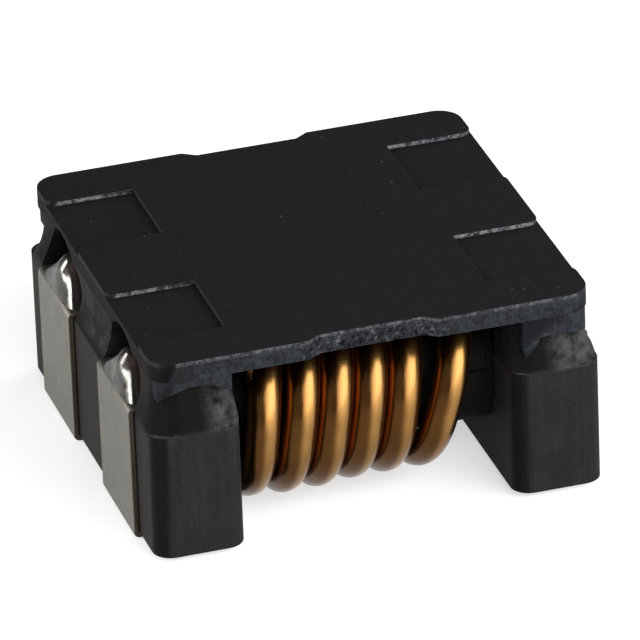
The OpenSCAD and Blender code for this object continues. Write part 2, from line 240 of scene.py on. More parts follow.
class Socket:
    """An output of a node tree. Arithmetic on it adds Math nodes, and add() adds any other node."""

    def __init__(self, tree, output=None):
        self.tree = tree
        self.output = output

    def add(self, kind, settings=None, inputs=None, out=0):
        """A new node: settings are set first, then inputs, by name or number; returns its output out."""
        node = self.tree.nodes.new(kind)
        for name, value in (settings or {}).items():
            setattr(node, name, value)
        for name, value in (inputs or {}).items():
            self.feed(node.inputs[name], value)
        return Socket(self.tree, node.outputs[out])

    def feed(self, target, value):
        """Links a Socket to an input, or sets a plain value on it."""
        if isinstance(value, Socket):
            self.tree.links.new(value.output, target)
        elif hasattr(value, "__len__") and len(value) == 3 and target.type == "RGBA":
            target.default_value = (*value, 1.0)
        else:
            target.default_value = value

    def math(self, operation, *values):
        """A Math node on sockets or numbers."""
        return self.add("ShaderNodeMath", {"operation": operation}, dict(enumerate(values)))

    def __add__(self, other):
        return self.math("ADD", self, other)

    def __sub__(self, other):
        return self.math("SUBTRACT", self, other)

    def __rsub__(self, other):
        return self.math("SUBTRACT", other, self)

    def __mul__(self, other):
        return self.math("MULTIPLY", self, other)

    def __abs__(self):
        return self.math("ABSOLUTE", self)

    __radd__ = __add__
    __rmul__ = __mul__

    def steps(self, low, high):
        """0 below low, 1 above high and a smooth rise between; high may lie below low."""
        values = {"Value": self, "From Min": low, "From Max": high}
        if low > high:
            values |= {"From Min": high, "From Max": low, "To Min": 1.0, "To Max": 0.0}
        return self.add("ShaderNodeMapRange", {"interpolation_type": "SMOOTHSTEP"}, values)

    def mix(self, low, high):
        """Colour between low and high by this factor: inputs 6 and 7 and output 2 are the node's colours."""
        return self.add("ShaderNodeMix", {"data_type": "RGBA"}, {0: self, 6: low, 7: high}, out=2)

    def part(self, axis):
        """One component of a vector."""
        return self.add("ShaderNodeSeparateXYZ", None, {0: self}, out=axis)

    def times(self, factors):
        """A vector with each component multiplied."""
        return self.add("ShaderNodeVectorMath", {"operation": "MULTIPLY"}, {0: self, 1: factors})

    def noise(self, per_mm, detail=3.0, rough=0.5):
        """Cloudy values about one half, with so many features a millimetre."""
        values = {"Vector": self, "Scale": per_mm, "Detail": detail, "Roughness": rough}
        return self.add("ShaderNodeTexNoise", None, values)

    def cells(self, per_mm):
        """Distance to the nearest of scattered points, in shares of their spacing."""
        return self.add("ShaderNodeTexVoronoi", None, {"Vector": self, "Scale": per_mm})


class Finish:
    """A new material: its Principled shader, and places on the piece in millimetres.

    In the finishes below, noise and cells take features a millimetre, steps takes the limits between which a
    pattern or a facing shows, and the number beside a mask is its share.
    """

    def __init__(self, name, **constants):
        self.material = bpy.data.materials.new(name)
        self.material.use_nodes = True
        self.tree = self.material.node_tree
        self.shader = self.tree.nodes["Principled BSDF"]
        self.base = Socket(self.tree)
        for socket, value in constants.items():
            self.set(socket.replace("_", " ").title().replace("Ior", "IOR"), value)

    def set(self, socket, value):
        """Links or sets one of the shader's inputs."""
        self.base.feed(self.shader.inputs[socket], value)

    def place(self):
        """Object coordinates in millimetres."""
        return self.base.add("ShaderNodeTexCoord", out="Object").times((PER_MM, PER_MM, PER_MM))

    def along(self):
        """The piece's own UV map: millimetres along it and round it."""
        return self.base.add("ShaderNodeUVMap", {"uv_map": "Along"})

    def facing(self, axis):
        """How far the face looks along an axis: 1 or -1 straight along it, 0 square to it."""
        return self.base.add("ShaderNodeNewGeometry", out="Normal").part(axis)

    def bump(self, height, depth_mm, strength):
        """Raises the surface by so many millimetres where height is 1; strength is how much of it shows."""
        values = {"Strength": strength, "Distance": depth_mm * MM, "Height": height}
        self.set("Normal", self.base.add("ShaderNodeBump", None, values))


def shade(colour, *factors):
    """A colour times one factor, or times one for each channel."""
    return np.multiply(colour, factors).tolist()


class CorePlaces:
    """Where the core's finish changes, in millimetres: each pair goes from no change to the full one."""

    # Below the shoulder, the flanges' faces that look along X, painted lighter as painted light
    LIT_ENDS_Z = SHOULDER_Z, SHOULDER_Z - 0.1
    # The post between the flanges, painted darker as painted shade
    POST_X = INNER_X - 0.01, INNER_X - 0.05
    # The hollows at the front and back of the corner necks, painted darker as painted shade
    HOLLOW_Y = CORE_Y - 0.82, CORE_Y - 0.47
    HOLLOW_Z = SHOULDER_Z - 0.04, SHOULDER_Z + 0.1
    # The middle pillars at the ends, with painted light
    PILLAR_X = CORE_X - 0.95, CORE_X - 0.55
    PILLAR_Y = 1.7, 1.1
    PILLAR_Z = SHOULDER_Z + 0.05, SHOULDER_Z + 0.25
    # Painted light on the right-hand halves of the left necks, and how much further along X those of the
    # right necks are
    LIT_X = -4.6, -3.95
    LIT_APART = 8.9
    LIT_Y = CORE_Y - 1.32, CORE_Y - 1.02
    LIT_Z = SHOULDER_Z - 0.08, SHOULDER_Z + 0.02
    # The middle of the part, where its left half ends and its right one starts
    MIDDLE_X = -0.1, 0.1


def ferrite_finish(name, colour, end, edge, stain_and_shade):
    """Pressed and fired ferrite: fine grain, upright press marks on its walls, and scattered pale grains.

    Below the shoulder, the flanges' faces that look along X are painted lighter, as painted light. The post,
    the corner necks' hollows and the upright roundings that look to the front left or the back right are
    painted darker, as painted shade. The middle pillars, the corner necks' right-hand halves and the legs'
    tops have paler broken patches of painted light.
    """
    # The edge colour paints the pale grains and the patches of painted light, the end colour paints light on
    # the flanges' faces, and the darkest colour paints the shade
    finish = Finish(name, specular_ior_level=0.022)
    place = finish.place()
    length, across, height = place.part("X"), abs(place.part("Y")), place.part("Z")
    facing_x, facing_y, facing_z = (finish.facing(axis) for axis in "XYZ")
    grain = place.noise(9.0, 5.0, 0.65)
    cloud = place.noise(0.7, 3.0)
    drag = place.times((7.0, 7.0, 0.35)).noise(1.0, 3.0, 0.6)
    speck = place.cells(5.0).steps(0.11, 0.05) * grain.steps(0.45, 0.6)

    wall = 1 - abs(facing_z).steps(0.2, 0.7)
    light = grain.steps(0.35, 0.75) * 0.35 + cloud.steps(0.3, 0.7) * 0.3
    light = light + drag.steps(0.35, 0.7) * wall * 0.35
    body = light.mix(shade(colour, 0.72), shade(colour, 1.35))
    # Painted light: below the shoulder, the faces that look along X are lighter
    lit_ends = abs(facing_x).steps(0.8, 0.97) * height.steps(*CorePlaces.LIT_ENDS_Z)
    body = (lit_ends * (0.75 + cloud * 0.4)).mix(body, end)

    # Painted shade: the necks' hollows, the post and the upright roundings that look to the front left or
    # the back right are darkened
    turned = abs(facing_x).steps(0.25, 0.65)
    hollow = across.steps(*CorePlaces.HOLLOW_Y) * height.steps(*CorePlaces.HOLLOW_Z) * (1 - turned)
    between = abs(length).steps(*CorePlaces.POST_X)
    body = (hollow * (0.7 + cloud * 0.5) + between).mix(body, stain_and_shade)
    turn = (facing_x * facing_y).steps(0.12, 0.4)
    body = (turn * 0.7).mix(body, stain_and_shade)

    # Painted light: paler broken patches on the middle pillars
    pillar = abs(length).steps(*CorePlaces.PILLAR_X) * height.steps(*CorePlaces.PILLAR_Z)
    pillar = pillar * across.steps(*CorePlaces.PILLAR_Y) * place.noise(1.7, 5.0, 0.7).steps(0.42, 0.7)
    body = (pillar * 0.6).mix(body, edge)
    # Painted light: paler broken patches on the necks' right-hand halves and on the legs' tops
    on_left_neck = length - length.steps(*CorePlaces.MIDDLE_X) * CorePlaces.LIT_APART
    paler = on_left_neck.steps(*CorePlaces.LIT_X) + facing_z.steps(0.6, 0.8)
    painted_light_patch = paler * across.steps(*CorePlaces.LIT_Y) * height.steps(*CorePlaces.LIT_Z)
    painted_light_patch = painted_light_patch * place.noise(2.6, 5.0, 0.7).steps(0.34, 0.68)
    body = (painted_light_patch * 0.75).mix(body, edge)

    finish.set("Base Color", (speck * 0.5).mix(body, edge))
    finish.set("Roughness", 0.5 + grain * 0.22 + speck * 0.1)
    finish.bump(grain * 0.6 + place.noise(38.0, 2.0) * 0.25 + drag * wall * 0.3 + painted_light_patch * 0.8, 0.02, 0.5)
    return finish.material


class PlatePlaces:
    """Where the plate's finish changes, in millimetres: each pair goes from no change to the full one."""

    # The left end of the front and back edges, painted darker as painted shade, and their pitted middle
    LEFT_X = -4.3, -5.0
    PIT_X = 2.4, 1.4
    # The front and back edges, whose rims are chipped less than those of the recesses
    EDGE_Y = 4.6, 5.0
    # Depth of the chipped rim below the plate's top, and the height over which it sets in
    RIM = 0.13
    RIM_START = 0.05
    # Height below the rim over which the painted light on the recesses' end walls sets in
    STEP_START = 0.02


def plate_finish(name, colour, side_colour, rim_colour, rim_z):
    """Pressed plate and the adhesive flush with its sides.

    The top is fine and dull with few pale specks and scuffs, and the recesses' end walls are painted a
    little paler, as painted light. The sides are coarse, lighter and full of open grains, pitted in the
    middle, and painted darker towards the left end, as painted shade. From rim_z up they are chipped and
    pale. Those that look to the front left or the back right are painted dark, as painted shade.
    """
    finish = Finish(name, specular_ior_level=0.03)
    place = finish.place()
    length, across, height = place.part("X"), abs(place.part("Y")), place.part("Z")
    facing_x, facing_y = (finish.facing(axis) for axis in "XY")
    grain = place.noise(10.0, 5.0, 0.65)
    coarse = place.noise(6.5, 6.0, 0.78)
    lump = place.noise(2.2, 3.0)
    pit = place.noise(8.0, 4.0, 0.75)

    scuff = place.times((1.0, 0.25, 1.0)).noise(2.2, 4.0, 0.7).steps(0.62, 0.75)
    light = grain.steps(0.35, 0.7) * 0.6 + scuff * 0.5
    top = light.mix(shade(colour, 0.8), shade(colour, 1.3))
    top = (lump.steps(0.3, 0.7) * 0.35).mix(top, shade(colour, 0.72))
    speck = place.cells(3.2).steps(0.17, 0.09) * lump.steps(0.58, 0.66)
    top = (speck * 0.6).mix(top, shade(rim_colour, 0.4))
    # Painted light: the recesses' end walls, which look along X, are paler
    step = abs(facing_x).steps(0.5, 0.8) * height.steps(rim_z - PlatePlaces.STEP_START, rim_z)
    top = (step * 0.3).mix(top, shade(rim_colour, 0.4))

    open_grain = coarse.steps(0.34, 0.62) * 0.7 + lump.steps(0.35, 0.65) * 0.3
    wall = open_grain.mix(shade(side_colour, 0.3), shade(side_colour, 1.35))
    # Painted shade: the sides are darker towards the left end
    wall = (length.steps(*PlatePlaces.LEFT_X) * 0.65).mix(wall, colour)
    middle = abs(length).steps(*PlatePlaces.PIT_X)
    wall = (middle * pit.steps(0.53, 0.6)).mix(wall, shade(side_colour, 0.1))
    wall = (middle * pit.steps(0.42, 0.36) * 0.55).mix(wall, rim_colour)
    chip = place.noise(4.5, 6.0, 0.8).steps(0.42, 0.6)
    rim = height.steps(rim_z, rim_z + PlatePlaces.RIM_START) * (1 - across.steps(*PlatePlaces.EDGE_Y) * 0.6)
    wall = (rim * chip).mix(wall, rim_colour)
    # Painted shade: sides that look to the front left or the back right are darkened
    turn = (facing_x * facing_y).steps(0.06, 0.24)
    wall = (turn * 0.9).mix(wall, shade(colour, 0.4))

    side = abs(facing_y).steps(0.62, 0.93)
    finish.set("Base Color", side.mix(top, wall))
    finish.set("Roughness", 0.6 + grain * 0.14 + side * 0.1)
    fine = grain * 0.5 + place.noise(40.0, 2.0) * 0.2
    finish.bump(fine * (1 - side) + coarse * side * 3.0, 0.022, 0.6)
    return finish.material


class WirePlaces:
    """Where the wire's finish changes, in millimetres: each pair goes from no change to the full one."""

    # The tinned ends
    BARE_X = 4.55, 4.85
    # The upper half, where a turn's flanks carry a painted reflection of the next turn
    MIRROR_Z = 1.2, 2.2


def enamel_finish(name, colour, painted_shade, tin):
    """Copper under clear amber enamel, tinned towards its ends: faint runs along the wire and shallow dents.

    The crest, which looks a little to the right, is painted light, as a painted highlight. The flanks are
    painted dark, as painted shade, apart from bright copper lines in the upper half, where they face the
    next
    turn: a painted reflection of it.
    """
    finish = Finish(name, coat_roughness=0.16, coat_ior=1.5, metallic=1.0)
    place = finish.place()
    along = finish.along()
    facing_x = finish.facing("X")
    runs = along.times((0.5, 9.0, 1.0)).noise(1.0, 3.0, 0.6)
    cloud = along.times((1.3, 1.6, 1.0)).noise(1.0, 3.0)
    # Painted highlight on the crest that looks a little to the right, painted shade on the flanks
    crest = abs(facing_x - 0.28).steps(0.56, 0.14)
    highlight_and_runs = crest * 0.85 + (runs.steps(0.3, 0.7) + cloud.steps(0.3, 0.7)) * 0.055
    copper = highlight_and_runs.mix(painted_shade, colour)
    # Painted reflection: bright copper lines on the upper flanks, where they face the next turn
    flank = abs(facing_x).steps(0.78, 0.95) * place.part("Z").steps(*WirePlaces.MIRROR_Z)
    copper = (flank * 0.9).mix(copper, shade(colour, 2.1, 1.75, 1.75))
    bare = abs(place.part("X")).steps(*WirePlaces.BARE_X)
    finish.set("Base Color", bare.mix(copper, tin))
    finish.set("Roughness", 0.23 + runs * 0.09)
    finish.set("Coat Weight", 0.1 - bare * 0.1)
    finish.bump(cloud + runs * 0.25 + along.noise(12.0, 2.0) * 0.1, 0.012, 0.5)
    return finish.material


def tin_finish(name, colour, cut):
    """Dull tinned strip: fine crystals, soft stains, rolling lines down its wall, bare alloy at its cuts."""
    finish = Finish(name, metallic=1.0)
    place = finish.place()
    crystal = place.cells(7.0)
    stain_and_shade = place.noise(1.6, 5.0, 0.7)
    lines = place.times((1.0, 14.0, 0.5)).noise(1.0, 3.0, 0.6)
    light = crystal * 0.35 + stain_and_shade.steps(0.3, 0.7) * 0.45 + lines * 0.3
    tin = light.mix(shade(colour, 0.62), shade(colour, 1.15))
    bare = abs(finish.facing("Y")).steps(0.6, 0.9) * (0.7 + stain_and_shade * 0.3)
    finish.set("Base Color", bare.mix(tin, cut))
    finish.set("Roughness", 0.42 + stain_and_shade * 0.2)
    finish.bump(crystal * 0.5 + lines * 0.4 + place.noise(25.0, 2.0) * 0.2, 0.01, 0.5)
    return finish.material


def solder_finish(name, colour):
    """Reflowed solder: smooth, with soft ripples and dull clouds.

    The side that looks to the front carries brown flux and a painted reflection of the dark surroundings.
    What looks up or to the back is painted darker, as painted shade, and wrinkled.
    """
    finish = Finish(name)
    place = finish.place()
    facing_y = finish.facing("Y")
    ripple = place.noise(1.8, 2.0)
    wrinkle = place.noise(5.0, 4.0, 0.65)
    dull = place.noise(2.4, 3.0, 0.6).steps(0.4, 0.7)
    # Brown flux, with a painted reflection of the dark surroundings, on the side that looks to the front
    flux_and_reflection = facing_y.steps(-0.45, -0.75) * (0.4 + place.noise(3.0, 4.0, 0.7) * 0.6)
    # Painted shade: what looks up or to the back is darker
    back = facing_y.steps(-0.34, -0.06)
    body = (dull * 0.4 + back * 0.6).mix(colour, shade(colour, 0.4, 0.38, 0.34))
    finish.set("Base Color", flux_and_reflection.mix(body, shade(colour, 0.95, 0.42, 0.3)))
    finish.set("Metallic", 1 - flux_and_reflection * 0.9)
    finish.set("Roughness", 0.15 + dull * 0.1 + back * 0.15)
    finish.bump(ripple + wrinkle * (0.1 + back * 0.9), 0.03, 0.5)
    return finish.material


def unit(v):
    """Vectors divided by their lengths."""
    return v / np.linalg.norm(v, axis=-1, keepdims=True)


def run_along(line):
    """Length of a line of points from its start up to each of them: the running sum of their distances."""
    return np.concatenate([[0], np.cumsum(np.linalg.norm(np.diff(line, axis=0), axis=1))])


def corner_arc(a, b, c, radius, steps=40):
    """Arc that rounds corner b of the line a b c.

    Its centre lies on the corner's bisector at radius / sin(half angle); the arc turns from the foot of the
    perpendicular on the first leg to the foot on the second.
    """
    u, w = unit(a - b), unit(c - b)
    half = np.arccos(np.clip(u @ w, -1, 1)) / 2
    centre = b + unit(u + w) * radius / np.sin(half)
    start = unit(b + u * radius / np.tan(half) - centre)
    end = unit(b + w * radius / np.tan(half) - centre)
    side = unit(end - start * (start @ end))
    turn = np.linspace(0, np.pi - 2 * half, steps + 1)[:, None]
    return centre + radius * (start * np.cos(turn) + side * np.sin(turn))


def rounded_route(corners, step=0.09):
    """Points every step millimetres along the line through corners (x, y, z, radius), rounded at each."""
    xyz = np.array([c[:3] for c in corners], float)
    arcs = [corner_arc(xyz[i - 1], xyz[i], xyz[i + 1], corners[i][3]) for i in range(1, len(corners) - 1)]
    line = np.concatenate([xyz[:1], *arcs, xyz[-1:]])
    run = run_along(line)
    even = np.linspace(0, run[-1], int(run[-1] / step))
    return np.stack([np.interp(even, run, line[:, k]) for k in range(3)], axis=1)


def swept_tube(path, radius, sides):
    """Circle of the given radius carried along a path, as a grid of rings.

    Each ring lies square to the path. Its starting direction is a fixed one squared to the path's heading,
    turned back by the twist that has built up between the rings before it. The fixed one is slanted, so that
    no stretch of a winding runs along it.
    """
    heading = unit(np.gradient(path, axis=0))
    fixed = unit(np.array([0.83, 0.31, 0.47]))
    across = unit(fixed - heading * (heading @ fixed)[:, None])
    other = np.cross(heading, across)
    carried = np.sum(across[:-1] * other[1:], axis=1), np.sum(across[:-1] * across[1:], axis=1)
    twist = np.concatenate([[0], np.cumsum(np.arctan2(*carried))])
    turn = np.linspace(0, 2 * np.pi, sides, endpoint=False)[None, :] + twist[:, None]
    ring = across[:, None] * np.cos(turn)[..., None] + other[:, None] * np.sin(turn)[..., None]
    return path[:, None] + radius * ring


def grid_faces(rows, columns):
    """Quads of a grid that is closed round its columns."""
    index = np.arange(rows * columns).reshape(rows, columns)
    after = np.roll(index, -1, axis=1)
    return np.stack([index[:-1], after[:-1], after[1:], index[1:]], axis=-1).reshape(-1, 4)


def end_caps(rows, columns):
    """The two polygons that close such a grid: its first row turned round, and its last row."""
    last = (rows - 1) * columns
    return np.stack([np.arange(columns)[::-1], np.arange(last, last + columns)])


def grid_along(path, columns, column_mm):
    """Millimetres along and round a tube's grid at the corners of its quads, in the order of grid_faces."""
    row, column = np.divmod(np.arange((len(path) - 1) * columns), columns)
    corner_row = row[:, None] + np.array([0, 0, 1, 1])
    corner_column = column[:, None] + np.array([0, 1, 1, 0])
    return np.stack([run_along(path)[corner_row], corner_column * column_mm], axis=-1)


def new_piece(name, points, faces, caps, material, along=None):
    """A smooth mesh object that rides on the part, from points in millimetres, quads and end polygons.

    along, if given, holds millimetres along and round the piece, one pair for each corner of the quads.
    """
    mesh = bpy.data.meshes.new(name)
    mesh.from_pydata((points.reshape(-1, 3) * MM).tolist(), [], faces.tolist() + caps.tolist())
    mesh.polygons.foreach_set("use_smooth", np.ones(len(mesh.polygons), bool))
    if along is not None:
        uv = mesh.uv_layers.new(name="Along")
        flat = np.zeros((len(mesh.loops), 2), np.float32)
        flat[: along.size // 2] = along.reshape(-1, 2)
        uv.data.foreach_set("uv", flat.ravel())
    mesh.validate()
    mesh.update()
    mesh.materials.append(material)
    piece = bpy.data.objects.new(name, mesh)
    bpy.context.scene.collection.objects.link(piece)
    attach(piece, "root")
    return piece


def add_bevel(piece, name, width_mm, segments, angle, material):
    """A bevel on all edges sharper than the angle, in degrees; its faces take the numbered material."""
    bevel = piece.modifiers.new(name, "BEVEL")
    bevel.width = width_mm * MM
    bevel.segments = segments
    bevel.limit_method = "ANGLE"
    bevel.angle_limit = math.radians(angle)
    bevel.harden_normals = True
    bevel.material = material
    return bevel


def round_edges(node, width_mm, materials, segments=3, heights=None):
    """Rounds a frame node's edges: merges its loose triangles, joins flat faces, bevels, evens the normals.

    Bevelled faces take the last material. Where heights is a pair of millimetres, only the edges between
    these heights are rounded, and the others are broken by a hair.
    """
    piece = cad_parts[node]
    piece.data.materials.clear()
    for material in materials:
        piece.data.materials.append(material)
    weld = piece.modifiers.new("Weld", "WELD")
    weld.merge_threshold = WELD
    flat = piece.modifiers.new("Flat faces", "DECIMATE")
    flat.decimate_type = "DISSOLVE"
    flat.angle_limit = math.radians(FLAT_ANGLE)
    bevel = add_bevel(piece, "Round edges", width_mm, segments, ROUND_ANGLE, len(materials) - 1)
    if heights:
        low, high = heights
        places = np.empty(3 * len(piece.data.vertices))
        piece.data.vertices.foreach_get("co", places)
        z = places[2::3] * PER_MM
        group = piece.vertex_groups.new(name="Rounded")
        group.add(np.flatnonzero((z > low) & (z < high)).tolist(), 1.0, "REPLACE")
        bevel.limit_method = "VGROUP"
        bevel.vertex_group = group.name
        add_bevel(piece, "Break edges", HAIR, 1, BREAK_ANGLE, -1)
    piece.data.polygons.foreach_set("use_smooth", np.ones(len(piece.data.polygons), bool))
    piece.modifiers.new("Flat normals", "WEIGHTED_NORMAL")


class CHOKE_OT_core(bpy.types.Operator):
    """Rounds the ferrite core's edges and gives it its pressed finish"""

    bl_idname = "choke.core"
    bl_label = "Ferrite core"

    def execute(self, context):
        colours, shape = context.scene.choke_finish, context.scene.choke_shape
        others = list(colours.ferrite_lit_ends), list(colours.ferrite_pale_and_lit), list(colours.ferrite_painted_shade)
        body = ferrite_finish("Ferrite", list(colours.ferrite), *others)
        paler = ferrite_finish("Ferrite edge", shade(colours.ferrite, 1.4), *others)
        round_edges("drum_core", shape.core_edge, [body, paler])
        return {"FINISHED"}


class CHOKE_OT_plate(bpy.types.Operator):
    """Rounds the top plate's edges and gives it a dull top and coarse sides"""

    bl_idname = "choke.plate"
    bl_label = "Top plate"

    def execute(self, context):
        colours, shape = context.scene.choke_finish, context.scene.choke_shape
        top = low_high("top_plate")[1][2]
        others = list(colours.plate_side), list(colours.plate_rim)
        body = plate_finish("Plate ferrite", list(colours.plate), *others, top - PlatePlaces.RIM)
        round_edges("top_plate", shape.plate_edge, [body], heights=(top - NEAR, top + NEAR))
        return {"FINISHED"}


class CHOKE_OT_bond(bpy.types.Operator):
    """Gives the adhesive between core and plate its uneven filled finish"""

    bl_idname = "choke.bond"
    bl_label = "Adhesive bond"

    # Height of the film at the bond's top, whose edges stay sharp, in millimetres
    FILM = 0.06

    def execute(self, context):
        colours, shape = context.scene.choke_finish, context.scene.choke_shape
        low, high = low_high("bond")
        side = list(colours.plate_side)
        body = plate_finish("Adhesive", side, side, side, high[2])
        round_edges("bond", shape.bond_edge, [body], heights=(low[2] - NEAR, high[2] - self.FILM))
        return {"FINISHED"}


class CHOKE_OT_terminals(bpy.types.Operator):
    """Softens the clip terminals' edges and gives them a dull tinned finish"""

    bl_idname = "choke.terminals"
    bl_label = "Clip terminals"

    def execute(self, context):
        colours, shape = context.scene.choke_finish, context.scene.choke_shape
        body = tin_finish("Tinned strip", list(colours.tin), list(colours.strip_cut))
        for corner in CORNERS:
            round_edges("terminal_" + corner, shape.strip_edge, [body], segments=2)
        return {"FINISHED"}


class Winding:
    """Corner points of the two windings' routes, in millimetres."""

    # How far each wire moves sideways as it climbs the front: the first, those between, and the last
    FIRST_LEAN, FRONT_LEAN, LAST_LEAN = 0.4, 0.54, 1.0
    # Bends of the leads on top of the post, along X from the wire they belong to
    A_OUT, B_IN, B_OUT = 1.48, -1.18, 0.3
    # Where a wire that has crossed the post's top turns straight to the back, and its bend there
    CROSS_Y, CROSS_BEND = 1.7, 1.0
    # Wires that hang a little lower under the post
    SAGGING = (1, 2)
    # Where the leads' arches lie across the part
    ARCH_Y = 2.72
    # Thickness of the solder under the wire's end
    FOOT = 0.04

    def __init__(self, shape):
        self.shape = shape
        self.count = 2 * shape.turns
        radius = shape.wire / 2
        low, high = low_high("winding_a")
        self.far_y = high[1] - radius
        self.low = low[2] + radius + shape.sag
        self.high = high[2] - radius
        self.end_x = TAB_X - shape.end_in
        self.end_z = TAB_Z + self.FOOT

    def wire_x(self, i):
        """Place along X of wire i at the back and under the post."""
        return self.shape.first + self.shape.pitch * i

    def front_x(self, i):
        """Place along X of wire i at the top of the front."""
        lean = {0: self.FIRST_LEAN, self.count - 1: self.LAST_LEAN}.get(i, self.FRONT_LEAN)
        return self.wire_x(i) + lean

    def turn(self, i):
        """Down the back, under the post and up the front."""
        x, bend = self.wire_x(i), self.shape.bend
        low = self.low - (self.shape.sag if i in self.SAGGING else 0)
        return [
            (x, self.far_y, self.high, bend),
            (x, self.far_y, low, bend),
            (x, -self.far_y, low, bend),
            (self.front_x(i), -self.far_y, self.high, bend),
        ]

    def end(self, x_side, y_side):
        """The wire's end on its tab, and its bend into the arch."""
        x, y = x_side * self.end_x, y_side * self.ARCH_Y
        return [(x, y, self.end_z, 0), (x, y, self.high, self.shape.end_bend)]

    def route(self, start, side, in_x, out_x):
        """From the left end to the right: each turn follows a pass across the top or a lead at the back."""
        lead = self.shape.lead_bend
        corners = self.end(LEFT, side) + [(in_x, side * self.ARCH_Y, self.high, lead)]
        for i in range(start, self.count, 2):
            if i != start or side == FRONT:
                corners.append((self.wire_x(i), self.CROSS_Y, self.high, self.CROSS_BEND))
            corners += self.turn(i)
        corners.append((out_x, side * self.ARCH_Y, self.high, lead))
        return rounded_route(corners + self.end(RIGHT, side)[::-1])

    def routes(self):
        """Both windings' routes, by their frame nodes: the wires take turns along the post."""
        last = self.count - 1
        return {
            "winding_a": self.route(0, BACK, self.wire_x(0), self.front_x(last - 1) + self.A_OUT),
            "winding_b": self.route(1, FRONT, self.wire_x(1) + self.B_IN, self.front_x(last) + self.B_OUT),
        }


class CHOKE_OT_windings(bpy.types.Operator):
    """Winds the two enamelled wires as smooth tubes along the frame's routes"""

    bl_idname = "choke.windings"
    bl_label = "Windings"

    def execute(self, context):
        colours, shape = context.scene.choke_finish, context.scene.choke_shape
        others = list(colours.enamel_painted_shade), list(colours.solder)
        enamel = enamel_finish("Enamelled wire", list(colours.enamel), *others)
        sides = shape.wire_sides
        for node, path in Winding(shape).routes().items():
            rings = swept_tube(path, shape.wire / 2, sides)
            faces, caps = grid_faces(len(path), sides), end_caps(len(path), sides)
            along = grid_along(path, sides, np.pi * shape.wire / sides)
            piece = new_piece(node + "_wire", rings, faces, caps, enamel, along)
            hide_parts(node)
        return {"FINISHED"}


class SolderMound:
    """Solder round a wire's end, in millimetres, as a polar grid: angle round the wire, and way out from it.

    The foot is a rounded rectangle on the tab. Outside the wire the height falls almost evenly on the way to
    the foot; inside it the mound closes in a dome over the wire's bend. At the outer edge the foot follows
    the strip's bend.
    """

    RINGS, SIDES = 30, 72
    # Set-in of the foot from the terminal's outer face, its half width across, and how square it is
    SET_IN, HALF_Y, SQUARE = 0.03, 1.36, 4
    # Radius of the wall round the wire, how much nearer and lower it is on the outer side, and its dome
    WALL, OUTER_LESS, DOME = 0.44, 0.05, 0.27
    # Share of the way that is inside the wall, and the power by which the height falls outside it
    INSIDE, FALL = 0.3, 1.12
    # Dip of the foot's edge below the tab, the power by which it sets in, and the hem that closes the foot
    DIP, DIP_POWER, HEM = 0.012, 6, 0.05

    def __init__(self, winding, height):
        self.middle_x, self.middle_y = winding.end_x, winding.ARCH_Y
        self.height = height

    def shell(self, x_side, y_side):
        """The grid's points at one corner of the part: rings from the dome's top to the foot, and a hem."""
        turn = np.linspace(0, 2 * np.pi, self.SIDES, endpoint=False)[None, :]
        way = np.linspace(0, 1, self.RINGS)[1:, None]
        inside = np.clip(way / self.INSIDE, 0, 1)
        outside = np.clip((way - self.INSIDE) / (1 - self.INSIDE), 0, 1)
        half_x = TAB_X - self.middle_x - self.SET_IN
        share_x = np.abs(np.cos(turn) / half_x) ** self.SQUARE
        share_y = np.abs(np.sin(turn) / self.HALF_Y) ** self.SQUARE
        foot = (share_x + share_y) ** (-1 / self.SQUARE)
        less = self.OUTER_LESS * np.maximum(0, np.cos(turn))
        wall, top = self.WALL - less, self.height - less
        radius = np.where(way < self.INSIDE, wall * inside, wall + (foot - wall) * outside)
        dome = top + (self.height + self.DOME - top) * (1 - inside**2)
        rise = np.where(way < self.INSIDE, dome, top * (1 - outside) ** self.FALL)
        x = self.middle_x + radius * np.cos(turn)
        y = self.middle_y + radius * np.sin(turn)
        past_bend = np.maximum(0, x - (TAB_X - STRIP))
        drop = STRIP - np.sqrt(np.maximum(0, STRIP**2 - past_bend**2))
        z = TAB_Z + rise - drop - self.DIP * outside**self.DIP_POWER
        rings = np.stack([x, y, z], axis=-1)
        hem = rings[-1:] - np.array([0, 0, self.HEM])
        return np.concatenate([rings, hem]) * np.array([x_side, y_side, 1])


class CHOKE_OT_solder(bpy.types.Operator):
    """Flows the four solder joints over the tabs and round the wires' ends"""

    bl_idname = "choke.solder"
    bl_label = "Solder joints"

    def execute(self, context):
        colours, shape = context.scene.choke_finish, context.scene.choke_shape
        bright = solder_finish("Bright solder", list(colours.solder))
        mound = SolderMound(Winding(shape), shape.solder_height)
        for corner, (x_side, y_side) in CORNERS.items():
            shell = mound.shell(x_side, y_side)
            rows, sides = shell.shape[:2]
            # A shell that isn't mirrored, or is mirrored twice, has its faces turned round to look outwards
            order = -1 if x_side * y_side > 0 else 1
            faces, caps = grid_faces(rows, sides)[:, ::order], end_caps(rows, sides)[:, ::order]
            piece = new_piece("solder_joint_" + corner, shell, faces, caps, bright)
            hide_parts("solder_" + corner)
        return {"FINISHED"}


def direction(azimuth, elevation):
    """Unit vector from the part towards an azimuth and an elevation in radians; azimuth 0 is the front."""
    level = math.cos(elevation)
    return Vector((math.sin(azimuth) * level, -math.cos(azimuth) * level, math.sin(elevation)))


def softbox(name, azimuth, elevation, distance, size, watts):
    """A rectangular lamp that faces the part: its direction in degrees, its distance and size in metres."""
    back = direction(math.radians(azimuth), math.radians(elevation))
    lamp = bpy.data.lights.new(name, "AREA")
    lamp.shape = "RECTANGLE"
    lamp.size, lamp.size_y = size
    lamp.energy = watts
    holder = bpy.data.objects.new(name, lamp)
    holder.location = back * distance
    holder.rotation_mode = "QUATERNION"
    holder.rotation_quaternion = (-back).to_track_quat("-Z", "Y")
    bpy.context.scene.collection.objects.link(holder)


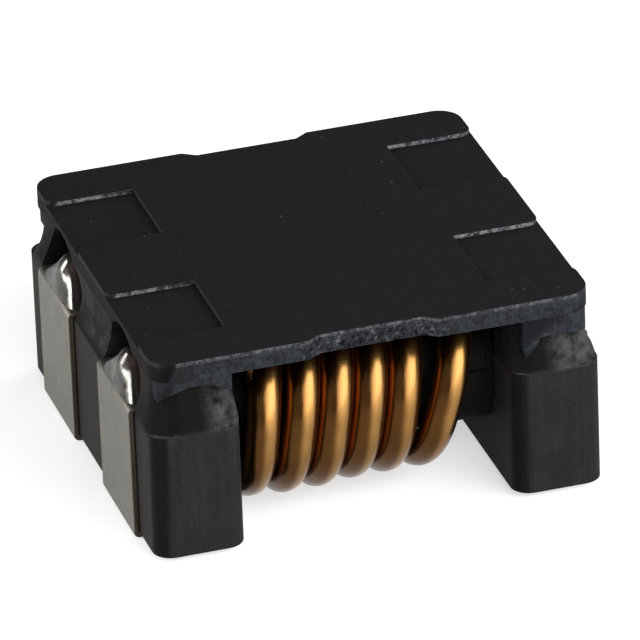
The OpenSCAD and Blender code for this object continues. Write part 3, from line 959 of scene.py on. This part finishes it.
def set_camera(stage):
    """Camera at the photograph's angle: placed from its two angles, rolled, and slid sideways."""
    back = direction(stage.azimuth, stage.elevation)
    right = (-back).cross(Vector((0, 0, 1))).normalized()
    up = right.cross(-back)
    c, s = math.cos(stage.roll), math.sin(stage.roll)
    right, up = right * c + up * s, up * c - right * s
    turn = Matrix((right, up, back)).transposed().to_4x4()
    place = Vector(stage.aim) + back * stage.distance + right * stage.slide[0] + up * stage.slide[1]
    lens = bpy.data.cameras.new("Camera")
    lens.lens = stage.lens
    lens.sensor_width = SENSOR
    lens.clip_start, lens.clip_end = 0.01, 10.0
    camera = bpy.data.objects.new("Camera", lens)
    camera.matrix_world = Matrix.Translation(place) @ turn
    bpy.context.scene.collection.objects.link(camera)
    bpy.context.scene.camera = camera


def set_surround(strength):
    """An even white world."""
    world = bpy.data.worlds.new("Surround")
    bpy.context.scene.world = world
    world.use_nodes = True
    background = world.node_tree.nodes["Background"]
    background.inputs["Color"].default_value = (1, 1, 1, 1)
    background.inputs["Strength"].default_value = strength


def lay_floor(colour, glow):
    """A pale floor just below the feet that glows towards white for the camera, in mirrors and in glass."""
    half, under = FLOOR_HALF, -HAIR * MM
    mesh = bpy.data.meshes.new("Floor")
    corners = [(-half, -half, under), (half, -half, under), (half, half, under), (-half, half, under)]
    mesh.from_pydata(corners, [], [(0, 1, 2, 3)])
    finish = Finish("Pale floor", roughness=0.28, specular_ior_level=0.5)
    finish.set("Base Color", colour)
    kinds = "Is Camera Ray", "Is Glossy Ray", "Is Transmission Ray"
    camera, glossy, through = (finish.base.add("ShaderNodeLightPath", out=kind) for kind in kinds)
    finish.set("Emission Color", (camera + glossy + through) * glow)
    finish.set("Emission Strength", 1.0)
    mesh.materials.append(finish.material)
    floor = bpy.data.objects.new("Floor", mesh)
    bpy.context.scene.collection.objects.link(floor)


class CHOKE_OT_stage(bpy.types.Operator):
    """Sets the camera, the pale floor, the white surround and the softboxes"""

    bl_idname = "choke.stage"
    bl_label = "Stage"

    def execute(self, context):
        stage = context.scene.choke_stage
        context.scene.view_settings.view_transform = "Standard"
        set_camera(stage)
        set_surround(stage.sky)
        lay_floor(list(stage.floor), stage.floor_glow)
        key, fill = stage.key, stage.fill
        softbox("Key", azimuth=27, elevation=26, distance=0.2, size=(0.3, 0.185), watts=1.28 * key)
        softbox("Fill", azimuth=-112, elevation=24, distance=0.2, size=(0.05, 0.15), watts=0.42 * fill)
        softbox("Back", azimuth=122, elevation=18, distance=0.22, size=(0.14, 0.1), watts=0.34 * fill)
        softbox("Front", azimuth=-62, elevation=20, distance=0.24, size=(0.3, 0.16), watts=0.1 * fill)
        return {"FINISHED"}


class CHOKE_PT_panel(bpy.types.Panel):
    """Lists the choke's pieces and their settings"""

    bl_idname = "CHOKE_PT_panel"
    bl_label = "Common Mode Choke"
    bl_space_type = "VIEW_3D"
    bl_region_type = "UI"
    bl_category = "Choke"

    def draw(self, context):
        for operator in OPERATORS:
            self.layout.operator(operator.bl_idname)
        for group in (context.scene.choke_finish, context.scene.choke_shape, context.scene.choke_stage):
            for name in group.__annotations__:
                self.layout.prop(group, name)


GROUPS = {"choke_finish": ChokeFinish, "choke_shape": ChokeShape, "choke_stage": ChokeStage}
OPERATORS = (
    CHOKE_OT_core,
    CHOKE_OT_plate,
    CHOKE_OT_bond,
    CHOKE_OT_terminals,
    CHOKE_OT_windings,
    CHOKE_OT_solder,
    CHOKE_OT_stage,
)
CLASSES = (*GROUPS.values(), *OPERATORS, CHOKE_PT_panel)


def register():
    """Registers the classes, and hangs the settings on the scene."""
    for cls in CLASSES:
        bpy.utils.register_class(cls)
    for name, group in GROUPS.items():
        setattr(bpy.types.Scene, name, PointerProperty(type=group))


def unregister():
    """Takes away what register() added, in the opposite order."""
    for name in GROUPS:
        delattr(bpy.types.Scene, name)
    for cls in reversed(CLASSES):
        bpy.utils.unregister_class(cls)


def main():
    """Dresses the frame piece by piece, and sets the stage."""
    register()
    bpy.ops.choke.core()
    bpy.ops.choke.plate()
    bpy.ops.choke.bond()
    bpy.ops.choke.terminals()
    bpy.ops.choke.windings()
    bpy.ops.choke.solder()
    bpy.ops.choke.stage()


if __name__ == "__main__":
    main()
